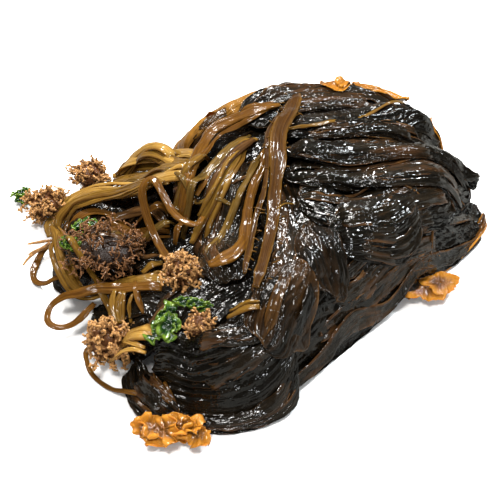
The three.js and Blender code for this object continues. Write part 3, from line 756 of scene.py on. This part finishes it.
# The name, width, tone, number of thinner strands beside the strap, and route of each stipe
STIPES = [
    ("stipe_back_upper", 7, "pale", 3, [(-90, 92), (-79, 95), (-67, 94), (-53, 84), (-40, 71), (-29, 57)]),
    ("stipe_back_wide", 12, "golden", 6, [(-86, 84), (-77, 87), (-67, 84), (-55, 71), (-43, 56),
     (-32, 46)]),
    ("stipe_back_lower", 8, "golden", 5, [(-91, 72), (-76, 66), (-60, 57), (-46, 46), (-35, 40)]),
    ("stipe_arch_under", 6, "brown", 3, [(-88, 29), (-78, 32), (-68, 33), (-58, 31), (-50, 23)]),
    ("stipe_arch_outer", 10, "pale", 4, [(-125, 38), (-126, 44), (-120, 51), (-108, 54), (-93, 52),
     (-79, 48), (-61, 42), (-46, 35), (-35, 33)]),
    ("stipe_arch_inner", 9, "golden", 5, [(-119, 34), (-117, 40), (-110, 44), (-100, 44), (-86, 43),
     (-73, 39), (-61, 33), (-51, 29)]),
    ("stipe_swag", 7, "orange", 3, [(-96, 28), (-87, 22), (-77, 18), (-68, 16), (-58, 16), (-48, 17)]),
    ("stipe_front_stub", 9, "golden", 1, [(-63, -14), (-57, -10), (-51, -8)]),
    ("stipe_loop_left", 5, "orange", 0, [(-120, 27), (-127, 24), (-131, 15), (-132, 5), (-128, -2),
     (-121, -6), (-112, -6)]),
    ("stipe_bow_left", 9, "golden", 2, [(-122, 32), (-118, 24), (-114, 6), (-107, -12), (-99, -22),
     (-87, -23), (-75, -22), (-64, -21), (-48, -21)]),
    ("stipe_loop_front", 7, "orange", 0, [(-90, -31), (-95, -37), (-102, -42), (-111, -43), (-117, -39),
     (-116, -31), (-109, -27), (-99, -28), (-88, -26), (-74, -28), (-60, -30), (-50, -32)]),
    ("stipe_to_front_root", 8, "golden", 3, [(-72, -32), (-74, -40), (-73, -49)]),
    ("stipe_serrated", 5, "brown", 0, [(-46, -53), (-52, -58), (-58, -61)]),
    ("stipe_front_wide", 16, "pale", 3, [(-73, -61), (-62, -67), (-52, -71)]),
    ("stipe_thin_front", 3.4, "orange", 0, [(-88, -49), (-94, -55), (-93, -62), (-89, -70), (-84, -75),
     (-74, -82), (-60, -89)]),
    ("stipe_long_left", 10, "orange", 2, [(18, 92), (3, 86), (-11, 83), (-22, 79), (-29, 63), (-33, 44),
     (-37, 27), (-41, 16)]),
    ("stipe_long_thin", 7, "golden", 2, [(4, 66), (-5, 57), (-9, 40), (-16, 23), (-22, 11), (-28, 4),
     (-34, -5)]),
    ("stipe_long_bow", 9, "orange", 0, [(11, 50), (7, 35), (2, 20), (-1, 8), (-2, -4), (-3, -17), (-8, -28),
     (-15, -34), (-23, -36)]),
    ("stipe_loop_middle", 5.5, "orange", 0, [(-42, -20), (-48, -10), (-55, 2), (-61, 14), (-63, 24),
     (-58, 28), (-51, 18), (-44, 7), (-36, 0), (-30, -2), (-27, 4)]),
    ("stipe_midrib", 12, "red_brown", 1, [(29, 102), (24, 76), (17, 50), (16, 27), (14, 9), (13, -7),
     (10, -26), (7, -44), (3, -61)]),
    ("stipe_midrib_branch", 7, "golden", 1, [(-12, -71), (-3, -72), (5, -72)]),
]

# The shares of the width at the start and end of a strap, where they differ
NARROWED = {
    "stipe_loop_front": (0.62, 1.15),
    "stipe_bow_left": (0.8, 1.0),
    "stipe_long_bow": (0.75, 1.0),
    "stipe_midrib": (1.0, 0.62),
    "stipe_long_left": (1.0, 0.7),
}
TOOTH_MARGIN = 3.0  # from the ends of a strap to its first and last tooth
TOOTHED = {"stipe_midrib": 3.2, "stipe_serrated": 1.5}  # the length of their teeth


def stipe_line(node, route):
    """The middle line of a strap, found again in its own solid, crossings kept apart."""
    plan, _ = laid_out(route)
    tree = surface_of(node)
    heights = np.full(len(plan), np.nan)
    last = None
    for i, (x, y) in enumerate(plan):
        found = crossings(tree, x, y)
        middles = [(a + b) / 2 for a, b in zip(found[::2], found[1::2])]
        if not middles:
            continue
        if last is None:
            last = middles[-1]
        last = min(middles, key=lambda z: abs(z - last))
        heights[i] = last
    heights = filled(heights[:, None])[:, 0]
    return np.column_stack([plan, blurred(heights, STRAP_SMOOTH, 0)])


def sides_of(line):
    """How far along each point is, and the level and upward directions across a line."""
    tangent = tangents(line)
    flat = unit(np.stack([-tangent[:, 1], tangent[:, 0], np.zeros(len(line))], -1))
    return distances(line), flat, np.cross(tangent, flat)


def strap(shell, line, width, seed, thick=STRAP_THICK, twist=0.45, grooves=2.5, shares=(1, 1)):
    """A flat strap along a line, with ridges along it, and ends that narrow."""
    steps, flat, up = sides_of(line)
    roll = twist * noise(steps / 24, 0.3, seed)[:, None]
    side = flat * np.cos(roll) + up * np.sin(roll)
    up = up * np.cos(roll) - flat * np.sin(roll)
    to_end = np.minimum(steps, steps[-1] - steps)[:, None]
    taper = 0.6 + 0.4 * smoothstep(0, 9, to_end)
    line = line - np.array([0, 0, STRAP_DIVE]) * smoothstep(8, 0, to_end)
    shares = shares[0] + (shares[1] - shares[0]) * smoothstep(0.35, 0.75, steps / steps[-1])[:, None]
    x = np.linspace(-1, 1, STRAP_COLUMNS)[None, :]
    s = steps[:, None]
    body = np.sqrt(np.maximum(1 - np.abs(x) ** 3, 0.02))
    groove = np.cos(math.pi * grooves * x + 1.6 * noise(s / 28, 0.7, seed + 3))
    groove = groove + 0.5 * noise(x * 4, s / 22, seed + 4)
    cup = 0.10 * width * noise(s / 26, 1.7, seed + 5) * (x * x - 0.4)
    bow = 0.4 * noise(s / 7, x * 1.5, seed + 6)
    top = body * (0.5 * thick + 0.17 * thick * groove) + cup + bow
    low = -body * (0.5 * thick + 0.10 * thick * groove) + cup + bow
    half = width / 2 * taper * shares * (1 + 0.13 * noise(s / 15, 2.2, seed + 1))
    wave = 0.25 * noise(s / 3.2, 4.1, seed + 2)
    out = x * (half + wave * np.abs(x))
    out = np.concatenate([out, out[:, ::-1]], 1)
    height = np.concatenate([top, low[:, ::-1]], 1) * (0.5 + 0.5 * taper)
    rings = line[:, None] + side[:, None] * out[..., None] + up[:, None] * height[..., None]
    rings[..., 2] = np.maximum(rings[..., 2], LOWEST)
    both = np.concatenate([x, x[:, ::-1]], 1) + 0 * s
    flow = np.stack([both * width / 2, np.broadcast_to(s, both.shape), np.full(both.shape, seed * 3.1)], -1)
    shell.add_tube(rings[:, ::-1], np.abs(both[:, ::-1]) ** 5, flow[:, ::-1])


def root_tube(shell, line, radius, sides, shade, seed):
    """A lumpy root along a line, thinner at its end, with a blunt tip."""
    tangent = tangents(line)
    other = np.where(np.abs(tangent[:, 2:]) < 0.8, [[0.0, 0.0, 1.0]], [[1.0, 0.0, 0.0]])
    first = unit(np.cross(tangent, other))
    second = np.cross(tangent, first)
    angle = np.linspace(0, math.tau, sides, endpoint=False)[None, :, None]
    share = np.linspace(0, 1, len(line))
    r = radius * (1 - 0.35 * share) * (1 + 0.22 * noise(share * 5, 0.5, int(seed * 97)))
    r[-1] *= 0.5
    around = first[:, None] * np.cos(angle) + second[:, None] * np.sin(angle)
    rings = line[:, None] + r[:, None, None] * around
    rings[..., 2] = np.maximum(rings[..., 2], ROOT_LOWEST)
    thin = (shade[0] + (shade[1] - shade[0]) * share)[:, None]
    shell.add_tube(rings, thin, rings + seed)


def teeth(shell, line, width, length, seed):
    """Short soft points along both edges of a strap."""
    steps, flat, up = sides_of(line)
    random = np.random.default_rng(seed)
    for hand in (-1, 1):
        at = TOOTH_MARGIN
        while at < steps[-1] - TOOTH_MARGIN:
            row = int(np.searchsorted(steps, at))
            edge = line[row] + flat[row] * hand * width * 0.42
            out = flat[row] * hand * random.uniform(0.6, 1.1) + up[row] * random.uniform(-0.1, 0.6)
            out = out + np.array([*random.uniform(-0.5, 0.5, 2), 0.0])
            reach = length * random.uniform(0.5, 1.5)
            bend = edge + out * reach * 0.6 + up[row] * 0.3
            root_tube(shell, np.array([edge, bend, edge + out * reach]), 0.5, 4, (0.6, 1.0), at)
            at += random.uniform(3.0, 14.0)


def stipe(name, width, tone, strands, route, seed):
    """A strap with thinner strands that run beside and across it."""
    line = stipe_line(name, route)
    steps, flat, up = sides_of(line)
    shell = Shell()
    strap(shell, line, width * (0.9 if strands == 0 else 0.82), seed, shares=NARROWED.get(name, (1, 1)))
    random = np.random.default_rng(seed)
    for k in range(strands):
        hand = -1 if (k + seed) % 2 else 1
        aside = hand * width * (random.uniform(0.25, 0.6) + 0.35 * noise(steps / 30, 0.2, seed + 50 + k))
        above = random.uniform(-1.6, 0.4) + 1.2 * noise(steps / 22, 0.4, seed + 60 + k)
        path = line + flat * aside[:, None] + up * above[:, None]
        first = random.integers(0, max(1, len(path) // 6))
        last = len(path) - random.integers(0, max(1, len(path) // 6))
        strand = min(width * random.uniform(0.3, 0.5), random.uniform(3.0, 5.0))
        strap(shell, path[first:last], strand, seed + 70 + k, 1.5, 0.6, 1.5)
    if name in TOOTHED:
        teeth(shell, line, width, TOOTHED[name], seed)
    shell.build(name + "_strap", STIPES_BY_TONE[tone], [name])


for index, piece in enumerate(STIPES):
    stipe(*piece, 5000 + 11 * index)


# Holdfasts


def haptera(shell, random, start, heading, length, radius, depth, curl):
    """A root that curls as it grows and forks into shorter, blunt ones."""
    heading = heading / np.linalg.norm(heading)
    turn = random.normal(0, 1, 3)
    points = [start]
    for _ in range(ROOT_JOINTS):
        heading = heading + curl * np.cross(turn, heading) + random.normal(0, 0.18, 3)
        heading /= np.linalg.norm(heading)
        after = points[-1] + heading * length / ROOT_JOINTS
        after[2] = max(after[2], LOWEST)
        points.append(after)
    line, _ = even(centripetal(points, 3), length / 5)
    root_tube(shell, line, radius, 4, ROOT_PAINTED_SHADES[depth], random.uniform(0, 50))
    if depth == len(ROOT_PAINTED_SHADES) - 1:
        return
    for _ in range(3 - depth):
        spread = heading + random.normal(0, 0.8, 3)
        joint = points[random.integers(2, ROOT_JOINTS + 1)]
        haptera(shell, random, joint, spread, length * 0.55, radius * 0.85, depth + 1, curl)


def holdfast(name, seed, material, roots, length, radius, curl=0.4, fill=0.6):
    """A dense, frizzy lump of branching roots that fills its solid."""
    low, high = box_of(name)
    centre = (low + high) / 2
    size = (high - low) / 2
    random = np.random.default_rng(seed)
    shell = Shell()
    core = np.linspace(0, 1, 9)
    ring = np.linspace(0, math.tau, 16, endpoint=False)
    polar = (core * 0.94 + 0.03)[:, None] * math.pi
    level = np.sin(polar)
    ball = np.stack([level * np.cos(ring), level * np.sin(ring), np.cos(polar) + 0 * ring], -1)
    bumps = fill + 0.12 * noise(ring[None, :] * 2, core[:, None] * 5, seed)
    body = (centre + ball * size * bumps[..., None])[::-1]
    body[..., 2] = np.maximum(body[..., 2], LOWEST)
    # The core ball is painted darkest, as shade inside the tangle of roots
    shell.add_tube(body, -0.2, body)
    for k in range(roots):
        z = 1 - 1.85 * (k + 0.5) / roots
        turn = k * GOLDEN_ANGLE + random.uniform(-0.3, 0.3)
        level = math.sqrt(max(0.0, 1 - z * z))
        out = np.array([level * math.cos(turn), level * math.sin(turn), z])
        start = centre + out * size * fill * 0.9
        start[2] = max(start[2], LOWEST)
        reach = length * random.uniform(0.7, 1.2)
        haptera(shell, random, start, out * size / size.mean(), reach, radius, 0, curl)
    shell.build(name + "_roots", material, [name])


# The name, number of roots, their length and their radius
HOLDFASTS = [
    ("holdfast_back", 60, 6.5, 1.0),
    ("holdfast_left", 66, 7.0, 1.05),
    ("holdfast_middle", 66, 6.5, 1.05),
    ("holdfast_front", 74, 7.5, 1.1),
    ("holdfast_small", 46, 5.0, 0.9),
]
for index, (name, roots, length, radius) in enumerate(HOLDFASTS):
    holdfast(name, 6000 + index, HOLDFAST, roots, length, radius)
holdfast("holdfast_dark", 6100, ROOT_DARK, 90, 9, 0.8, 0.3, 0.7)


# Small loose strands

SOLIDS = [surface_of(node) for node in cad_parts]


def top_of(x, y):
    """The highest place of all the solids above a place in plan, or the floor."""
    found = [crossings(tree, x, y) for tree in SOLIDS]
    return max([heights[0] for heights in found if heights], default=0)


def dropped(route):
    """A plan route's line, laid on whatever solid is highest below it."""
    plan, _ = laid_out(route)
    heights = np.array([top_of(x, y) for x, y in plan])
    return np.column_stack([plan, blurred(heights, STRAP_SMOOTH, 0) + FREE_LIFT])


def loose_strap(name, line, width, seed, material, thick, twist, grooves):
    """A strap that has no solid of its own."""
    shell = Shell()
    strap(shell, line, width, seed, thick, twist, grooves)
    shell.build(name, material, [])


# The last words of the name, width, thickness, tone and plan route of each loose strand on the heap
LOOSE_STRANDS = [
    ("edge_line", 2.6, 1.2, "golden", [(23, 55), (42, 61), (63, 76), (84, 91), (102, 104)]),
    ("beside_midrib", 2.4, 1.2, "brown", [(1, 30), (-4, 25), (-9, 23), (-13, 21)]),
    ("spike", 1.6, 1.0, "golden", [(15, -2), (20, 3), (26, 7)]),
    ("front_curl", 3.2, 1.4, "orange", [(-47, -86), (-45, -90), (-41, -95)]),
    ("right_line", 1.4, 1.0, "brown", [(107, 12), (107, 2), (104, -5), (99, -10)]),
    ("fold_edge", 1.8, 1.2, "brown", [(40, 8), (58, 14), (75, 20), (90, 20), (102, 16)]),
    ("across_back", 7.0, 1.8, "pale", [(-84, 84), (-72, 85), (-58, 79), (-46, 68), (-36, 60)]),
    ("under_back", 5.0, 1.6, "olive", [(-88, 66), (-72, 60), (-58, 50), (-44, 42), (-34, 30)]),
    ("centre", 5.0, 1.6, "golden", [(-24, 60), (-30, 44), (-40, 30), (-48, 18)]),
    ("centre_low", 4.2, 1.5, "orange", [(-22, 40), (-30, 26), (-40, 12), (-44, 0)]),
    ("swag_low", 4.5, 1.5, "olive", [(-98, 20), (-86, 12), (-72, 8), (-58, 10), (-44, 16)]),
    ("over_dark", 3.6, 1.4, "brown", [(-110, 10), (-96, 4), (-82, 4), (-66, -2), (-52, -6)]),
    ("front_left", 5.0, 1.5, "golden", [(-88, -26), (-80, -36), (-78, -46)]),
    ("front_middle", 4.0, 1.5, "orange", [(-66, -24), (-64, -36), (-60, -46)]),
    ("top_left", 4.5, 1.5, "orange", [(20, 100), (6, 94), (-8, 92), (-22, 90), (-36, 80)]),
    ("down_left", 5.5, 1.6, "olive", [(0, 76), (-12, 60), (-22, 44), (-32, 28), (-40, 8)]),
    ("down_middle", 5.0, 1.6, "brown", [(2, 62), (-8, 46), (-18, 30), (-26, 14), (-34, 0)]),
    ("down_right", 4.5, 1.5, "olive", [(6, 40), (-2, 24), (-10, 8), (-18, -8), (-26, -20)]),
    ("down_thin", 3.0, 1.3, "golden", [(-4, 52), (-14, 34), (-20, 18), (-30, 6)]),
    ("cross_middle", 4.0, 1.5, "olive", [(-44, 34), (-34, 22), (-22, 14), (-10, 12)]),
    ("left_long", 5.0, 1.5, "orange", [(-112, 30), (-96, 36), (-80, 30), (-64, 22), (-48, 24)]),
    ("left_low", 5.0, 1.5, "golden", [(-116, 22), (-108, 4), (-96, -12), (-80, -18), (-62, -16)]),
]

# The same, without a thickness, of straps of the back bundle that hang between its ends
HANGING_STRANDS = [
    ("back_gap", 8.0, "pale", [(-86, 86, 12), (-75, 82, 24), (-64, 76, 32), (-54, 68, 39), (-44, 58, 46)]),
    ("back_under", 9.0, "golden", [(-86, 87, 7), (-75, 84, 17), (-66, 79, 24), (-55, 70, 32),
     (-45, 59, 40)]),
    ("back_low", 6.0, "golden", [(-86, 80, 8), (-74, 77, 17), (-62, 70, 25), (-52, 62, 32), (-42, 53, 40)]),
]

# A thin amber rim that shows below the outer blades
RIM_ROUTE = [(148, 54, 7), (144, 40, 6), (133, 25, 5), (118, 10, 4), (105, -3, 3.5), (94, -12, 3)]

# The radius and route of each rootlet that hangs free at the left
ROOTLETS = [
    (1.3, [(-122, 23, 12), (-127, 20, 10), (-131, 19, 8), (-136, 16, 5), (-139, 12, 3)]),
    (1.0, [(-127, 20, 10), (-133, 19, 8), (-136, 18, 6)]),
    (1.0, [(-121, 25, 12), (-130, 26, 9), (-138, 28, 5)]),
]

# A dark mat of fine roots under the straps
MAT_MIDDLES = [(-60, 46), (-66, 8), (-52, -22)]
MAT_HEIGHT = 7.0
MAT_SIZE = np.array([30, 27, 5.0])
MAT_ROOTS = 40  # round each middle


def rootlets():
    shell = Shell()
    for index, (radius, route) in enumerate(ROOTLETS):
        root_tube(shell, laid_out(route)[0], radius, 6, (0.4, 0.8), 30 + index)
    shell.build("rootlets_left", HOLDFAST, [])


def root_mat():
    shell = Shell()
    random = np.random.default_rng(8500)
    for index, place in enumerate(MAT_MIDDLES):
        middle = np.array([*(np.array(place) + SHIFT), MAT_HEIGHT])
        ruffle(shell, middle, MAT_SIZE, random, 8510 + index, 0.08, 1.0)
        for _ in range(MAT_ROOTS):
            offset = np.array([*random.uniform(-0.8, 0.8, 2), random.uniform(0.0, 0.8)]) * MAT_SIZE
            heading = np.array([*random.uniform(-1, 1, 2), 0.15])
            haptera(shell, random, middle + offset, heading, 13, 0.7, 1, 0.35)
    shell.build("root_mat", ROOT_DARK, [])


for index, (name, width, thick, tone, route) in enumerate(LOOSE_STRANDS):
    line = dropped(route)
    loose_strap("strand_" + name, line, width, 8000 + 11 * index, STIPES_BY_TONE[tone], thick, 0.5, 1.5)
for index, (name, width, tone, route) in enumerate(HANGING_STRANDS):
    line, _ = laid_out(route)
    loose_strap("strand_" + name, line, width, 8200 + 11 * index, STIPES_BY_TONE[tone], 1.6, 0.4, 2.0)
loose_strap("rim_low_right", laid_out(RIM_ROUTE)[0], 6.0, 8300, BLADE_AMBER, 0.9, 0.9, 1.0)
rootlets()
root_mat()


# Sea lettuce


def lettuce(name, seed):
    """A crumpled scrap: five ruffled sheets that fill their solid's box."""
    low, high = box_of(name)
    random = np.random.default_rng(7000 + seed)
    shell = Shell()
    for k in range(5):
        offset = random.uniform(-0.32, 0.32, 3) * (high - low)
        ruffle(shell, (low + high) / 2 + offset, (high - low) * 0.36, random, 7100 + 10 * seed + k)
    shell.build(name + "_sheets", LETTUCE, [name])


for index, place in enumerate(("left", "middle", "root", "front", "holdfast")):
    lettuce("lettuce_" + place, index)


# The room: a pale floor, soft light and the camera

FLOOR_HALF = 6.0
LIGHT_TARGET = Vector((0, 0, 0.03))


def floor_material(name, colour, mirrored):
    """A pale floor that is darker in reflections, as the world is."""
    n = Nodes(name)
    shader = n.new("ShaderNodeBsdfPrincipled", {"Base Color": colour, "Roughness": 0.6}).outputs[0]
    darker = n.new("ShaderNodeBsdfDiffuse", {"Color": mirrored}).outputs[0]
    glossy = n.new("ShaderNodeLightPath").outputs["Is Glossy Ray"]
    return n.finish(n.new("ShaderNodeMixShader", {0: glossy, 1: shader, 2: darker}).outputs[0])


def add_floor():
    mesh = bpy.data.meshes.new("floor")
    corners = [(-1, -1), (1, -1), (1, 1), (-1, 1)]
    mesh.from_pydata([(x * FLOOR_HALF, y * FLOOR_HALF, 0) for x, y in corners], [], [(0, 1, 2, 3)])
    mesh.materials.append(floor_material("pale_floor", (0.86, 0.86, 0.85), (0.16, 0.16, 0.15)))
    floor = bpy.data.objects.new("floor", mesh)
    bpy.context.scene.collection.objects.link(floor)


def add_facing(name, data, place, target):
    """Adds a light or camera at a place, turned towards a target."""
    item = bpy.data.objects.new(name, data)
    item.location = place
    item.rotation_euler = (target - place).to_track_quat("-Z", "Y").to_euler()
    bpy.context.scene.collection.objects.link(item)
    return item


def add_light(name, place, size, watts, colour):
    light = bpy.data.lights.new(name, "AREA")
    light.shape = "RECTANGLE"
    light.size, light.size_y = size
    light.energy = watts
    light.color = colour
    add_facing(name, light, Vector(place), LIGHT_TARGET)


def add_world(glow, gloss):
    """A white world that is dimmer in reflections, so that wet surfaces stay dark between their glints."""
    world = bpy.data.worlds.new("studio")
    world.use_nodes = True
    tree = world.node_tree
    path = tree.nodes.new("ShaderNodeLightPath")
    strength = tree.nodes.new("ShaderNodeMapRange")
    strength.inputs["To Min"].default_value = glow
    strength.inputs["To Max"].default_value = gloss
    tree.links.new(path.outputs["Is Glossy Ray"], strength.inputs["Value"])
    tree.nodes["Background"].inputs["Color"].default_value = (1, 1, 1, 1)
    tree.links.new(strength.outputs["Result"], tree.nodes["Background"].inputs["Strength"])
    bpy.context.scene.world = world


def add_camera():
    target = np.array([*(SHIFT + CAMERA_TARGET[:2]), CAMERA_TARGET[2]])
    angle = math.radians(CAMERA_ELEVATION)
    place = target + CAMERA_DISTANCE * np.array([0, -math.cos(angle), math.sin(angle)])
    data = bpy.data.cameras.new("camera")
    data.lens = CAMERA_LENS
    data.sensor_width = SENSOR_WIDTH
    camera = add_facing("camera", data, Vector(place * MM), Vector(target * MM))
    bpy.context.scene.camera = camera


add_floor()
add_camera()
add_world(0.68, 0.05)
add_light("key", (-0.3, 0.85, 1.15), (0.34, 0.22), 42, (1.0, 0.99, 0.97))
add_light("side", (0.75, 0.45, 1.05), (0.24, 0.20), 22, (0.90, 0.96, 1.0))
add_light("front", (-0.15, -0.45, 1.35), (0.26, 0.20), 18, (1.0, 0.98, 0.96))
add_light("low", (0.45, -1.05, 0.55), (0.16, 0.10), 4, (0.92, 0.96, 1.0))
bpy.context.scene.view_settings.view_transform = "Standard"
